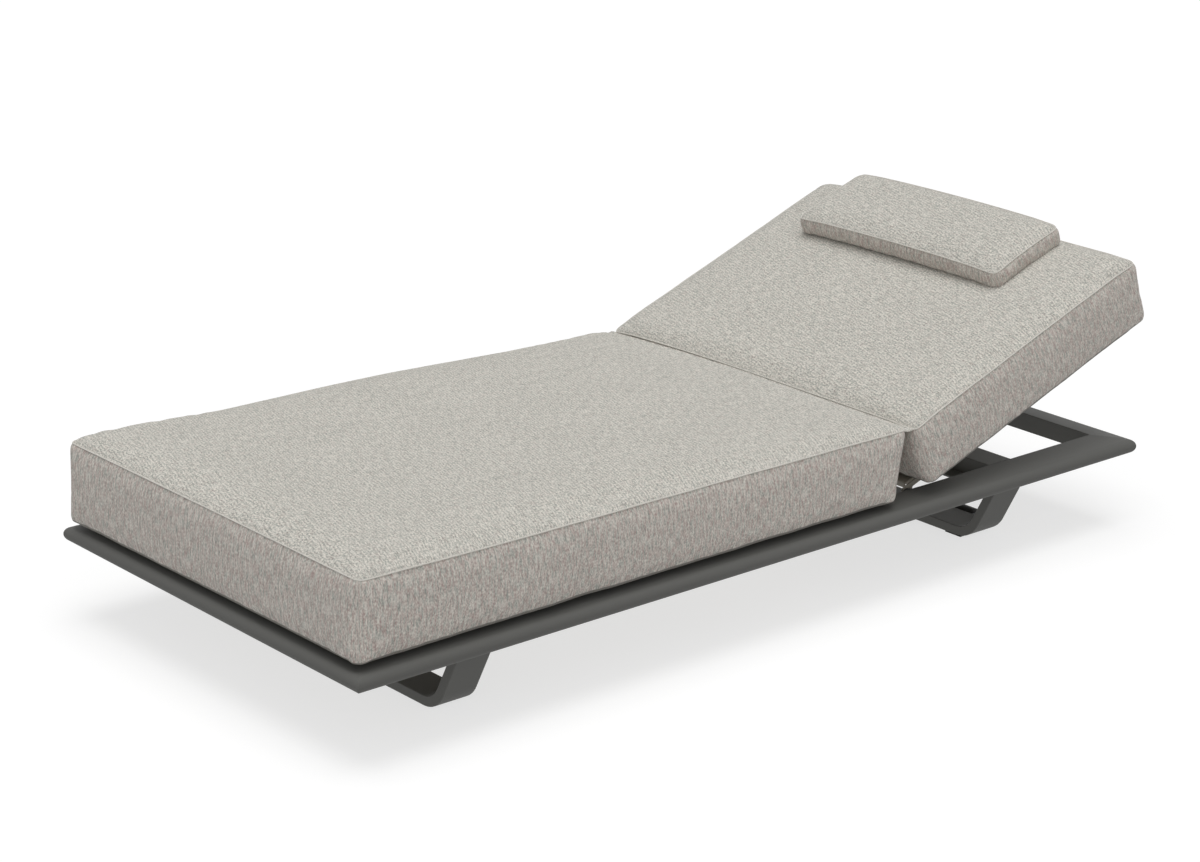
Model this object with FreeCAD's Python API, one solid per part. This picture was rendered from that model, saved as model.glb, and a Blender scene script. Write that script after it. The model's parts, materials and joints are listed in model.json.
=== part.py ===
import FreeCAD, Part
import math
import os

# Spa relaxation lounger: low mitred frame on two bent sled feet, folding mattress, head pillow.
# Millimetres. X runs along the lounger, head end positive; Y runs across; Z is up, floor at zero.
# Places along X are first taken from the middle of the frame, then moved so that
# the origin lies under the middle of the whole object.

os.makedirs("parts", exist_ok=True)

# Frame of four hollow rails
frame_length = 2000.0
frame_width = 980.0
rail_width = 70.0
rail_base = 152.0
rail_wall = 3.0
nose_radius = 16.0
nose_drop = 7.0
crown_turn_share = 1.35
rail_edge_radius = 1.5
cut_overrun = 5.0

# Corner keys bonded inside the hollow rails across each mitre
key_leg_length = 110.0
key_width = 36.0
key_height = 20.0

# Crossbars, hollow, top face level with the rails' inner edge
crossbar_width = 40.0
crossbar_wall = 3.0
crossbar_edge_radius = 2.0
head_crossbar_width = 65.0
head_crossbar_from_sled_edge = 40.0
ledge_width = 36.0
ledge_thickness = 3.5
hinge_crossbar_from_axis = 68.0
mid_crossbar_share = 0.5

# Sled feet, each bent from one flat bar
sled_from_end = 269.0
sled_width = 78.0
bar_thickness = 20.5
bend_inner_radius = 48.0
leg_lean = 28.0
sled_rail_overlap = 12.2
bar_edge_chamfer = 1.2
pad_drop = 1.5
heel_pad_before_bend = 31.0
heel_pad_past_bend = 13.0
glide_inset = 8.0
glide_length = 60.0
glide_from_bend = 49.0

# Transport rollers at the head end
roller_diameter = 27.0
roller_length = 62.0
roller_from_bend = 65.0
roller_floor_gap = 1.0
roller_sled_gap = 1.0
roller_edge = 3.0
axle_diameter = 6.0
running_gap = 0.1
cheek_thickness = 8.0
cheek_side_gap = 1.0
cheek_rim = 3.0

# Decks, folded from sheet
sheet = 2.5
deck_top = 197.0
deck_depth = 15.0
deck_bend_radius = 4.0
corner_relief = 7.0
rail_end_gap = 5.0
seat_deck_from_axis = 38.0
notch_gap = 3.0
slot_width = 18.0
slot_corner = 5.0
slot_length_share = 0.66
slot_column_shares = (-0.7, -0.35, 0.0, 0.35, 0.7)

# Pads and screws that hold the seat deck on its crossbars
pad_length = 50.0
pad_width = 30.0
pad_place_share = 0.88
screw_diameter = 6.0
screw_head_diameter = 11.0
screw_tail = 4.0
screw_place_share = 0.78

# Recline axis of the back deck and its ratchet fittings
axis_from_head = 600.0
axis_height = 172.0
recline_angle = 20.0
pin_diameter = 10.0
pin_head_diameter = 18.0
pin_head_height = 3.0
side_gap = 0.3
arm_thickness = 2.2
arm_hub_radius = 14.0
arm_length = 96.0
arm_waist = 10.0
fitting_diameter = 36.0
fitting_width = 7.5
fitting_chamfer = 1.5
bracket_thickness = 3.0
bracket_length = 72.0
bracket_height = 34.0
bracket_corner = 8.0

# Back deck and the beam under it
back_deck_start = 12.0
swing_notch_gap = 6.0
beam_place = 207.0
beam_width = 28.0
beam_end_gap = 57.0
beam_wall = 2.5
ledge_buffer = 3.0
buffer_length = 60.0
buffer_width = 24.0
buffer_place_share = 0.614
buffer_gap = 0.3

# Mattress in two sections
mattress_side_inset = 15.0
mattress_side_bulge = 4.0
mattress_corner_radius = 16.0
mattress_lift = 0.4
seat_foot_overlap = 18.0
seat_thickness_at_foot = 151.0
seat_thickness_at_fold = 143.5
seat_crown_at_foot = 18.0
seat_crown_at_fold = 8.0
seat_top_from_axis = 60.5
seat_base_from_axis = 85.0
back_thickness = 147.0
back_crown = 18.0
back_foot_top = 13.0
back_foot_base = 18.0
back_head_top = 690.0
back_head_base = 683.0
end_round = 7.0
end_rounding_reach = 34.0

# Head pillow
pillow_half_width = 299.0
pillow_start = 462.0
pillow_length = 202.0
pillow_thickness = 44.0
pillow_crown = 8.0
pillow_side_bulge = 2.0
pillow_corner_radius = 8.0
pillow_lift = 0.5
pillow_round = 5.0
pillow_rounding_reach = 18.0

# Sizes that follow from those above
rail_height = 2 * nose_radius + nose_drop
rail_top = rail_base + rail_height
half_length = frame_length / 2
half_width = frame_width / 2
inner_half_width = half_width - rail_width
inner_half_length = half_length - rail_width
axis_x = half_length - axis_from_head
head_sled_middle = half_length - sled_from_end - sled_width / 2
foot_sled_middle = sled_from_end + sled_width / 2 - half_length
head_bar_end = head_sled_middle + sled_width / 2 - head_crossbar_from_sled_edge
head_bar_start = head_bar_end - head_crossbar_width
hinge_bar_middle = axis_x - hinge_crossbar_from_axis
mid_bar_middle = foot_sled_middle + mid_crossbar_share * (hinge_bar_middle - foot_sled_middle)
seat_bars = (foot_sled_middle, mid_bar_middle, hinge_bar_middle)
bracket_inner = inner_half_width - bracket_thickness
fitting_inner = bracket_inner - fitting_width
deck_half_width = fitting_inner - side_gap - arm_thickness
mattress_half_width = half_width - mattress_side_inset
seat_deck_start = rail_end_gap - inner_half_length
seat_deck_end = axis_x - seat_deck_from_axis
pad_place = pad_place_share * deck_half_width
screw_place = screw_place_share * deck_half_width
deck_above_axis = deck_top - axis_height
beam_half_length = deck_half_width - beam_end_gap
buffer_place = buffer_place_share * deck_half_width
bend_outer_radius = bend_inner_radius + bar_thickness
bend_height = pad_drop + bend_outer_radius
bend_end_height = bend_height - bend_outer_radius * math.sin(math.radians(leg_lean))
leg_run = (rail_base - bend_end_height) * math.tan(math.radians(leg_lean))
bend_run = bend_outer_radius * math.cos(math.radians(leg_lean))
bend_place = inner_half_width + sled_rail_overlap - leg_run - bend_run
roller_place = bend_place - roller_from_bend
glide_place = bend_place - glide_from_bend
back_deck_end = inner_half_length - rail_end_gap - axis_x
roller_height = roller_floor_gap + roller_diameter / 2
roller_x = head_sled_middle + sled_width / 2 + roller_sled_gap + roller_diameter / 2


def vec(x, y, z):
    return FreeCAD.Vector(x, y, z)


def block(x_from, x_to, y_from, y_to, z_from, z_to):
    """Box between two corners."""
    return Part.makeBox(x_to - x_from, y_to - y_from, z_to - z_from, vec(x_from, y_from, z_from))


def prism(points, run):
    """Straight-sided solid from the corner points of one face and its run."""
    wire = Part.makePolygon(points + [points[0]])
    return Part.Face(wire).extrude(run)


def rod(radius, y_from, y_to, x, z):
    """Round rod along Y."""
    return Part.makeCylinder(radius, y_to - y_from, vec(x, y_from, z), vec(0, 1, 0))


def rounded(shape, radius, wanted):
    """Fillet the edges that the given test picks."""
    edges = [edge for edge in shape.Edges if wanted(edge)]
    return shape.makeFillet(radius, edges) if edges and radius > 0 else shape


def clipped(x_from, x_to, y_from, y_to, corner, z=0):
    """Corner points of a level rectangle with its corners cut off."""
    return [
        vec(x_from + corner, y_from, z),
        vec(x_to - corner, y_from, z),
        vec(x_to, y_from + corner, z),
        vec(x_to, y_to - corner, z),
        vec(x_to - corner, y_to, z),
        vec(x_from + corner, y_to, z),
        vec(x_from, y_to - corner, z),
        vec(x_from, y_from + corner, z),
    ]


def both_sides(shape):
    """The piece and its mirror image across the lounger."""
    return [shape, shape.mirror(vec(0, 0, 0), vec(0, 1, 0))]


def near(value, target):
    return abs(value - target) < 1e-6 * frame_length


# Frame rails

def rail_outline(inset):
    """Section of a rail: u runs inwards from the outer face. The top falls to a round nose."""
    turn = crown_turn_share * math.atan2(nose_drop, rail_width - nose_radius)
    middle_z = rail_base + nose_radius
    radius = nose_radius - inset
    lower = vec(0, nose_radius, middle_z - radius)
    outer = vec(0, nose_radius - radius * math.cos(turn / 2), middle_z + radius * math.sin(turn / 2))
    upper = vec(0, nose_radius - radius * math.sin(turn), middle_z + radius * math.cos(turn))
    full_u = nose_radius - nose_radius * math.sin(turn)
    full_z = middle_z + nose_radius * math.cos(turn)
    rise = rail_top - full_z
    run = rail_width - full_u
    swing = turn - math.atan2(rise, run)
    crown_radius = math.hypot(rise, run) / (2 * math.sin(swing))
    centre_u = full_u + crown_radius * math.sin(turn)
    centre_z = full_z - crown_radius * math.cos(turn)
    reach = crown_radius - inset
    inner_u = rail_width - inset
    inner_z = centre_z + math.sqrt(reach ** 2 - (inner_u - centre_u) ** 2)
    mid_u = (upper.y + inner_u) / 2
    mid_z = centre_z + math.sqrt(reach ** 2 - (mid_u - centre_u) ** 2)
    inner_top = vec(0, inner_u, inner_z)
    inner_base = vec(0, inner_u, rail_base + inset)
    return Part.Wire([
        Part.Arc(lower, outer, upper).toShape(),
        Part.Arc(upper, vec(0, mid_u, mid_z), inner_top).toShape(),
        Part.makeLine(inner_top, inner_base),
        Part.makeLine(inner_base, lower),
    ])


def rail(length, turn):
    """One rail, cut to a mitre at both ends and turned to its side of the frame."""
    outside = Part.Face(rail_outline(0)).extrude(vec(length, 0, 0))

    def inner_corner(edge):
        ends = [vertex.Point for vertex in edge.Vertexes]
        at_inner = all(near(point.y, rail_width) and point.z > rail_top - nose_radius for point in ends)
        return at_inner and near(abs(ends[0].x - ends[-1].x), length)

    outside = rounded(outside, rail_edge_radius, inner_corner)
    hollow = Part.Face(rail_outline(rail_wall)).extrude(vec(length, 0, 0))
    bar = outside.cut(hollow)
    plan = [
        vec(0, 0, 0),
        vec(length, 0, 0),
        vec(length - rail_width, rail_width, 0),
        vec(rail_width, rail_width, 0),
    ]
    bar = bar.common(prism(plan, vec(0, 0, rail_top + cut_overrun)))
    bar.translate(vec(-length / 2, -half_width if length == frame_length else -half_length, 0))
    bar.rotate(vec(0, 0, 0), vec(0, 0, 1), turn)
    return bar


def corner_keys():
    """Cast L-shaped keys that lie inside the hollow rails across each mitre."""
    start = (rail_width - key_width) / 2
    end = start + key_width
    plan = [
        vec(start, start, 0),
        vec(key_leg_length, start, 0),
        vec(key_leg_length, end, 0),
        vec(end, end, 0),
        vec(end, key_leg_length, 0),
        vec(start, key_leg_length, 0),
    ]
    key = prism(plan, vec(0, 0, key_height))
    key.translate(vec(-half_length, -half_width, rail_base + rail_wall))
    keys = both_sides(key)
    return keys + [item.mirror(vec(0, 0, 0), vec(1, 0, 0)) for item in keys]


# Crossbars

def tube_bar(middle, screws):
    """Square-edged hollow crossbar that ends on the rails' inner faces."""
    start = middle - crossbar_width / 2
    end = middle + crossbar_width / 2
    bar = block(start, end, -inner_half_width, inner_half_width, rail_base, rail_top)

    def long_edge(edge):
        return near(edge.Length, 2 * inner_half_width)

    bar = rounded(bar, crossbar_edge_radius, long_edge)
    hollow = block(start + crossbar_wall, end - crossbar_wall, -inner_half_width, inner_half_width,
                   rail_base + crossbar_wall, rail_top - crossbar_wall)
    return bar.cut(hollow).cut(screws)


def head_crossbar():
    """Wide hollow crossbar with a ledge on its foot side that catches the back deck's beam."""
    base = rail_base
    ledge_top = rail_base + ledge_thickness
    ledge_start = head_bar_start - ledge_width
    points = [
        vec(ledge_start, -inner_half_width, base),
        vec(head_bar_end, -inner_half_width, base),
        vec(head_bar_end, -inner_half_width, rail_top),
        vec(head_bar_start, -inner_half_width, rail_top),
        vec(head_bar_start, -inner_half_width, ledge_top),
        vec(ledge_start, -inner_half_width, ledge_top),
    ]
    bar = prism(points, vec(0, 2 * inner_half_width, 0))

    def top_edge(edge):
        level = all(near(vertex.Point.z, rail_top) for vertex in edge.Vertexes)
        return level and near(edge.Length, 2 * inner_half_width)

    bar = rounded(bar, crossbar_edge_radius, top_edge)
    hollow = block(head_bar_start + crossbar_wall, head_bar_end - crossbar_wall,
                   -inner_half_width, inner_half_width, base + crossbar_wall, rail_top - crossbar_wall)
    return bar.cut(hollow)


# Sled feet

def sled_outline(offset, level):
    """Points of one face of the bent bar, at a distance outwards from its inner face."""
    radius = bend_inner_radius + offset
    centre_z = bend_height
    turn = math.radians(90 - leg_lean)
    lean = math.radians(leg_lean)
    floor_end = vec(0, bend_place, centre_z - radius)
    half = turn / 2
    bend_mid = vec(0, bend_place + radius * math.sin(half), centre_z - radius * math.cos(half))
    bend_end = vec(0, bend_place + radius * math.sin(turn), centre_z - radius * math.cos(turn))
    top_y = bend_end.y + (level - bend_end.z) * math.tan(lean)
    return floor_end, bend_mid, bend_end, vec(0, top_y, level)


def mirrored(point):
    return vec(point.x, -point.y, point.z)


def sled(middle):
    """Flat bar bent into a shallow U, legs leaning out to the rails."""
    out = sled_outline(bar_thickness, rail_base)
    inn = sled_outline(0, rail_base)
    edges = []
    for run, flip in ((out, False), (inn, True)):
        edges.append(Part.makeLine(mirrored(run[3]), mirrored(run[2])))
        edges.append(Part.Arc(mirrored(run[2]), mirrored(run[1]), mirrored(run[0])).toShape())
        edges.append(Part.makeLine(mirrored(run[0]), run[0]))
        edges.append(Part.Arc(run[0], run[1], run[2]).toShape())
        edges.append(Part.makeLine(run[2], run[3]))
    edges.append(Part.makeLine(out[3], inn[3]))
    edges.append(Part.makeLine(mirrored(out[3]), mirrored(inn[3])))
    wire = Part.Wire(Part.__sortEdges__(edges))
    bar = Part.Face(wire).extrude(vec(sled_width, 0, 0))

    def side_edge(edge):
        ends = [vertex.Point for vertex in edge.Vertexes]
        across = near(ends[0].x, ends[-1].x)
        at_top = near(ends[0].z, rail_base) and near(ends[-1].z, rail_base)
        return across and not at_top

    bar = bar.makeChamfer(bar_edge_chamfer, [edge for edge in bar.Edges if side_edge(edge)])
    bar.translate(vec(middle - sled_width / 2, 0, 0))
    return bar


def heel_pads():
    """Pads on the heels of the head-end foot, shaped to the start of the bend."""
    start = head_sled_middle - sled_width / 2
    end = start + sled_width
    top = pad_drop + bar_thickness
    pad = block(start, end, bend_place - heel_pad_before_bend, bend_place + heel_pad_past_bend, 0, top)
    bend = Part.makeCylinder(bend_outer_radius, sled_width, vec(start, bend_place, bend_height), vec(1, 0, 0))
    flat = block(start, end, 0, bend_place, pad_drop, bend_height)
    pad = pad.cut(flat).cut(bend)
    return both_sides(max(pad.Solids, key=lambda solid: solid.BoundBox.YMax))


def foot_glides():
    """Glides under the foot-end foot, set in from its edges."""
    start = foot_sled_middle - sled_width / 2 + glide_inset
    end = foot_sled_middle + sled_width / 2 - glide_inset
    low = glide_place - glide_length / 2
    high = glide_place + glide_length / 2
    glide = prism(clipped(start, end, low, high, glide_inset), vec(0, 0, pad_drop))
    return both_sides(glide)


# Transport rollers

def roller():
    """Rubber roller with rounded ends, bored for its axle, on the near side."""
    radius = roller_diameter / 2
    bore = axle_diameter / 2 + running_gap
    half = roller_length / 2
    face = Part.Face(Part.makePolygon([
        vec(bore, -half, 0),
        vec(radius - roller_edge, -half, 0),
        vec(radius, roller_edge - half, 0),
        vec(radius, half - roller_edge, 0),
        vec(radius - roller_edge, half, 0),
        vec(bore, half, 0),
        vec(bore, -half, 0),
    ]))
    body = face.revolve(vec(0, 0, 0), vec(0, 1, 0), 360)
    body.translate(vec(roller_x, -roller_place, roller_height))
    return body


def roller_cheeks():
    """Welded cheeks that carry each axle, one on either side of the roller."""
    back = head_sled_middle + sled_width / 2
    radius = axle_diameter / 2 + cheek_rim
    inner = roller_length / 2 + cheek_side_gap
    pieces = []
    for side in (1, -1):
        start = roller_place + (inner if side > 0 else -inner - cheek_thickness)
        end = start + cheek_thickness
        eye = rod(radius, start, end, roller_x, roller_height)
        arm = block(back, roller_x, start, end, roller_height - radius, roller_height + radius)
        hole = rod(axle_diameter / 2, start, end, roller_x, roller_height)
        pieces.append(arm.fuse(eye).removeSplitter().cut(hole))
    return [copy for piece in pieces for copy in both_sides(piece)]


def roller_axles():
    reach = roller_length / 2 + cheek_side_gap + cheek_thickness
    return both_sides(rod(axle_diameter / 2, roller_place - reach, roller_place + reach,
                          roller_x, roller_height))


# Folded decks

def folded_deck(x_from, x_to, top):
    """Sheet with all four edges turned down and the corners relieved."""
    low = top - deck_depth
    half = deck_half_width

    def top_edge(level):
        return lambda edge: all(near(vertex.Point.z, level) for vertex in edge.Vertexes)

    outside = block(x_from, x_to, -half, half, low, top)
    outside = rounded(outside, deck_bend_radius, top_edge(top))
    inside = block(x_from + sheet, x_to - sheet, sheet - half, half - sheet, low - deck_depth, top - sheet)
    inside = rounded(inside, deck_bend_radius - sheet, top_edge(top - sheet))
    deck = outside.cut(inside)
    for x_start, x_end in ((x_from - sheet, x_from + corner_relief), (x_to - corner_relief, x_to + sheet)):
        for y_start, y_end in ((-half - sheet, corner_relief - half), (half - corner_relief, half + sheet)):
            relief = block(x_start, x_end, y_start, y_end, low - sheet, top - deck_bend_radius)
            deck = deck.cut(relief)
    return deck


def slot_row(x_from, x_to, count, top):
    """Ventilation slots, evenly spread over one bay of a deck."""
    pitch = (x_to - x_from) / count
    half = slot_length_share * pitch / 2
    low = top - deck_depth / 2
    slots = []
    for row in range(count):
        middle = x_from + (row + 0.5) * pitch
        for share in slot_column_shares:
            y = share * deck_half_width
            plan = clipped(middle - half, middle + half, y - slot_width / 2, y + slot_width / 2, slot_corner, low)
            slots.append(prism(plan, vec(0, 0, deck_depth)))
    return slots


def seat_screws():
    """Flat-headed screws through the deck into the crossbars, beside the pads."""
    radius = screw_diameter / 2
    head = screw_head_diameter / 2
    foot = rail_top - crossbar_wall - screw_tail
    face = Part.Face(Part.makePolygon([
        vec(0, 0, foot),
        vec(radius, 0, foot),
        vec(radius, 0, deck_top - sheet),
        vec(head, 0, deck_top),
        vec(0, 0, deck_top),
        vec(0, 0, foot),
    ]))
    screw = face.revolve(vec(0, 0, 0), vec(0, 0, 1), 360)
    return [screw.translated(vec(bar, side * screw_place, 0)) for bar in seat_bars for side in (-1, 1)]


def seat_pads():
    """Rubber pads between the crossbars and the seat deck."""
    half_x = pad_width / 2
    top = deck_top - sheet
    pads = []
    for bar in seat_bars:
        pad = block(bar - half_x, bar + half_x, pad_place - pad_length / 2, pad_place + pad_length / 2,
                    rail_top, top)
        pads += both_sides(pad)
    return pads


def seat_deck(screws):
    deck = folded_deck(seat_deck_start, seat_deck_end, deck_top)
    half = crossbar_width / 2
    first, second, third = seat_bars
    bays = [
        (seat_deck_start, first - half, 1),
        (first + half, second - half, 3),
        (second + half, third - half, 3),
    ]
    slots = []
    for x_from, x_to, count in bays:
        slots += slot_row(x_from, x_to, count, deck_top)
    deck = deck.cut(Part.makeCompound(slots))
    for bar in seat_bars:
        reach = half + notch_gap
        notch = block(bar - reach, bar + reach, -deck_half_width - sheet, deck_half_width + sheet,
                      deck_top - deck_depth - sheet, deck_top - deck_bend_radius)
        deck = deck.cut(notch)
    return deck.cut(screws)


# Back deck: lengths along it from the recline axis, heights above that axis, then tipped up

def tipped(shape):
    """Turn a piece that was laid out flat up to the recline angle and put it on the axis."""
    copy = shape.copy()
    copy.rotate(vec(0, 0, 0), vec(0, 1, 0), -recline_angle)
    copy.translate(vec(axis_x, 0, axis_height))
    return copy


def back_deck():
    """Flat-lying back deck, its side flanges notched where they lie over the head crossbar."""
    deck = folded_deck(back_deck_start, back_deck_end, deck_above_axis)
    beam_start = beam_place - beam_width / 2
    beam_end = beam_place + beam_width / 2
    slots = slot_row(back_deck_start, beam_start, 1, deck_above_axis)
    slots += slot_row(beam_end, back_deck_end, 2, deck_above_axis)
    deck = deck.cut(Part.makeCompound(slots))
    notch = block(head_bar_start - swing_notch_gap - axis_x, head_bar_end + swing_notch_gap - axis_x,
                  -deck_half_width - sheet, deck_half_width + sheet,
                  deck_above_axis - deck_depth - sheet, deck_above_axis - deck_bend_radius)
    return tipped(deck.cut(notch))


def back_beam():
    """Channel welded across under the back deck; it comes down on the crossbar's ledge."""
    start = beam_place - beam_width / 2
    end = beam_place + beam_width / 2
    top = deck_above_axis - sheet
    low = rail_base + ledge_thickness + ledge_buffer - axis_height
    outside = block(start, end, -beam_half_length, beam_half_length, low, top)
    inside = block(start + beam_wall, end - beam_wall, -beam_half_length, beam_half_length,
                   low + beam_wall, top)
    return tipped(outside.cut(inside))


def recline_arms():
    """Flat arms from the axis, welded on the outside of the deck's flanges."""
    y_from = deck_half_width
    y_to = deck_half_width + arm_thickness
    top = deck_above_axis - deck_bend_radius
    low = deck_above_axis - deck_depth
    hub = rod(arm_hub_radius, y_from, y_to, 0, 0)
    lean = arm_hub_radius / math.sqrt(2)
    points = [
        vec(lean, y_from, -lean),
        vec(arm_hub_radius + arm_waist, y_from, low),
        vec(arm_length, y_from, low),
        vec(arm_length, y_from, top),
        vec(0, y_from, top),
        vec(-lean, y_from, lean),
    ]
    arm = prism(points, vec(0, arm_thickness, 0)).fuse(hub).removeSplitter()
    arm = arm.cut(rod(pin_diameter / 2 + running_gap, y_from, y_to, 0, 0))
    return [tipped(piece) for piece in both_sides(arm)]


# Ratchet fittings on the rails

def brackets(pins):
    """Plates with clipped corners, welded on the rails' inner faces."""
    half = bracket_length / 2
    rise = bracket_height / 2
    plan = clipped(-half, half, -rise, rise, bracket_corner)
    plate = prism(plan, vec(0, 0, bracket_thickness))
    plate.rotate(vec(0, 0, 0), vec(1, 0, 0), 90)
    plate.translate(vec(axis_x, inner_half_width, axis_height))
    return [piece.cut(pins) for piece in both_sides(plate)]


def recline_pins():
    """Pins of the recline axis, headed on the inside of the arms."""
    start = deck_half_width - side_gap
    head = rod(pin_head_diameter / 2, start - pin_head_height, start, axis_x, axis_height)
    shank = rod(pin_diameter / 2, start, inner_half_width, axis_x, axis_height)
    return both_sides(head.fuse(shank))


def fittings():
    """Closed round housings of the ratchets, between the arms and the brackets."""
    radius = fitting_diameter / 2
    bore = pin_diameter / 2
    face = Part.Face(Part.makePolygon([
        vec(bore, 0, 0),
        vec(radius - fitting_chamfer, 0, 0),
        vec(radius, fitting_chamfer, 0),
        vec(radius, fitting_width, 0),
        vec(bore, fitting_width, 0),
        vec(bore, 0, 0),
    ]))
    body = face.revolve(vec(0, 0, 0), vec(0, 1, 0), 360)
    body.translate(vec(axis_x, fitting_inner, axis_height))
    return both_sides(body)


def buffers():
    """Rubber buffers that the back deck comes down on: two on the crossbar, two on its ledge."""
    half_x = buffer_width / 2
    crossbar_middle = (head_bar_start + head_bar_end) / 2
    beam_middle = axis_x + beam_place
    top = deck_top - sheet - buffer_gap
    ledge_top = rail_base + ledge_thickness
    y_from = buffer_place - buffer_length / 2
    y_to = buffer_place + buffer_length / 2
    upper = block(crossbar_middle - half_x, crossbar_middle + half_x, y_from, y_to, rail_top, top)
    lower = block(beam_middle - half_x, beam_middle + half_x, y_from, y_to,
                  ledge_top, ledge_top + ledge_buffer - buffer_gap)
    return both_sides(upper) + both_sides(lower)


# Mattress and pillow

def cushion_section(base_x, top_x, half, base, seam, crown, bulge, corner, inset, sag):
    """One closed section: base, rounded lower corners, bulged sides, seams and crowned top."""
    half = half - inset
    low = base + inset
    high = seam - inset
    side = half - bulge

    def at(y, z):
        return vec(base_x + (top_x - base_x) * (z - base) / (seam - base), y, z)

    diagonal = corner * (1 - math.sqrt(0.5))
    wall_mid = (low + corner + high) / 2
    edges = []
    if sag > 0:
        edges.append(Part.Arc(at(corner - side, low - sag), at(0, low), at(side - corner, low - sag)).toShape())
    else:
        edges.append(Part.makeLine(at(corner - side, low), at(side - corner, low)))
    start = low - sag
    edges.append(Part.Arc(at(side - corner, start), at(side - diagonal, start + diagonal),
                          at(side, start + corner)).toShape())
    edges.append(Part.Arc(at(side, start + corner), at(half, wall_mid), at(side, high)).toShape())
    edges.append(Part.Arc(at(side, high), at(0, high + crown), at(-side, high)).toShape())
    edges.append(Part.Arc(at(-side, high), at(-half, wall_mid), at(-side, start + corner)).toShape())
    edges.append(Part.Arc(at(-side, start + corner), at(diagonal - side, start + diagonal),
                          at(corner - side, start)).toShape())
    return Part.Wire(edges)


def blend(start, end, share):
    return start + (end - start) * share


# Distance in from an end, as a share of the rounding's reach, and what is left of the rounding there
rounding_shares = ((0.0, 1.0), (0.09, 0.5), (0.3, 0.14), (1.0, 0.0))
end_crown_share = 0.45
middle_shares = (0.35, 0.65)


def stations(reach, length):
    """Places along a cushion, each with its share of the length and of the end rounding."""
    ends = [(share * reach / length, left) for share, left in rounding_shares]
    places = ends + [(share, 0.0) for share in middle_shares]
    places += [(1 - place, left) for place, left in reversed(ends)]
    return places


def seat_cushion():
    """Seat section of the mattress; its head face leans back under the fold."""
    foot = seat_foot_overlap - half_length
    top_end = axis_x - seat_top_from_axis
    base_end = axis_x - seat_base_from_axis
    base = deck_top + mattress_lift
    wires = []
    for place, left in stations(end_rounding_reach, top_end - foot):
        thickness = blend(seat_thickness_at_foot, seat_thickness_at_fold, place)
        crown = blend(seat_crown_at_foot, seat_crown_at_fold, place)
        crown = crown * (1 - end_crown_share * left)
        wires.append(cushion_section(blend(foot, base_end, place), blend(foot, top_end, place),
                                     mattress_half_width, base, base + thickness, crown,
                                     mattress_side_bulge, mattress_corner_radius, end_round * left, 0))
    return Part.makeLoft(wires, True, True)


def back_cushion():
    """Back section of the mattress, laid out flat on its deck and then tipped."""
    base = deck_above_axis + mattress_lift
    wires = []
    for place, left in stations(end_rounding_reach, back_head_top - back_foot_top):
        crown = back_crown * (1 - end_crown_share * left)
        wires.append(cushion_section(blend(back_foot_base, back_head_base, place),
                                     blend(back_foot_top, back_head_top, place),
                                     mattress_half_width, base, base + back_thickness, crown,
                                     mattress_side_bulge, mattress_corner_radius, end_round * left, 0))
    return tipped(Part.makeLoft(wires, True, True))


def head_pillow():
    """Flat head pillow that lies on the crown of the back section."""
    crown_top = deck_above_axis + mattress_lift + back_thickness + back_crown
    base = crown_top + pillow_lift
    side = mattress_half_width - mattress_side_bulge
    sag = back_crown * (pillow_half_width / side) ** 2
    wires = []
    for place, left in stations(pillow_rounding_reach, pillow_length):
        x = pillow_start + place * pillow_length
        crown = pillow_crown * (1 - end_crown_share * left)
        wires.append(cushion_section(x, x, pillow_half_width, base, base + pillow_thickness, crown,
                                     pillow_side_bulge, pillow_corner_radius, pillow_round * left, sag))
    return tipped(Part.makeLoft(wires, True, True))


# Assembly

def build():
    """All pieces, by name, still placed from the middle of the frame."""
    screws = seat_screws()
    screw_tool = Part.makeCompound(screws)
    pins = recline_pins()
    wheel = roller()
    pieces = {
        "near_rail": [rail(frame_length, 0)],
        "far_rail": [rail(frame_length, 180)],
        "head_rail": [rail(frame_width, 90)],
        "foot_rail": [rail(frame_width, -90)],
        "corner_keys": corner_keys(),
        "head_crossbar": [head_crossbar()],
        "hinge_crossbar": [tube_bar(hinge_bar_middle, screw_tool)],
        "mid_crossbar": [tube_bar(mid_bar_middle, screw_tool)],
        "foot_crossbar": [tube_bar(foot_sled_middle, screw_tool)],
        "head_sled": [sled(head_sled_middle)],
        "foot_sled": [sled(foot_sled_middle)],
        "heel_pads": heel_pads(),
        "foot_glides": foot_glides(),
        "roller_cheeks": roller_cheeks(),
        "roller_axles": roller_axles(),
        "near_roller": [wheel],
        "far_roller": [wheel.mirror(vec(0, 0, 0), vec(0, 1, 0))],
        "seat_deck": [seat_deck(screw_tool)],
        "seat_pads": seat_pads(),
        "seat_screws": screws,
        "recline_brackets": brackets(Part.makeCompound(pins)),
        "recline_fittings": fittings(),
        "recline_pins": pins,
        "deck_buffers": buffers(),
        "back_deck": [back_deck()],
        "back_beam": [back_beam()],
        "recline_arms": recline_arms(),
        "seat_cushion": [seat_cushion()],
        "back_cushion": [back_cushion()],
        "head_pillow": [head_pillow()],
    }
    return pieces


def main():
    pieces = build()
    reach = Part.makeCompound(pieces["back_cushion"]).BoundBox
    middle = (reach.XMax - half_length) / 2
    shift = vec(-middle, 0, 0)
    for name, solids in pieces.items():
        placed = [solid.translated(shift) for solid in solids]
        shape = placed[0] if len(placed) == 1 else Part.makeCompound(placed)
        box = shape.BoundBox
        kinds = [solid.isValid() for solid in placed]
        print(name, len(shape.Solids), all(kinds), round(shape.Volume, 1),
              [round(value, 1) for value in (box.XMin, box.XMax, box.YMin, box.YMax, box.ZMin, box.ZMax)])
        shape.exportStep("parts/" + name + ".step")
    print("recline axis at", round(axis_x - middle, 4), round(axis_height, 4))
    print("roller axis at", round(roller_x - middle, 4), round(roller_height, 4))
    print("middle of the frame at", round(-middle, 4))


main()
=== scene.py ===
import json
import math

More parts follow.
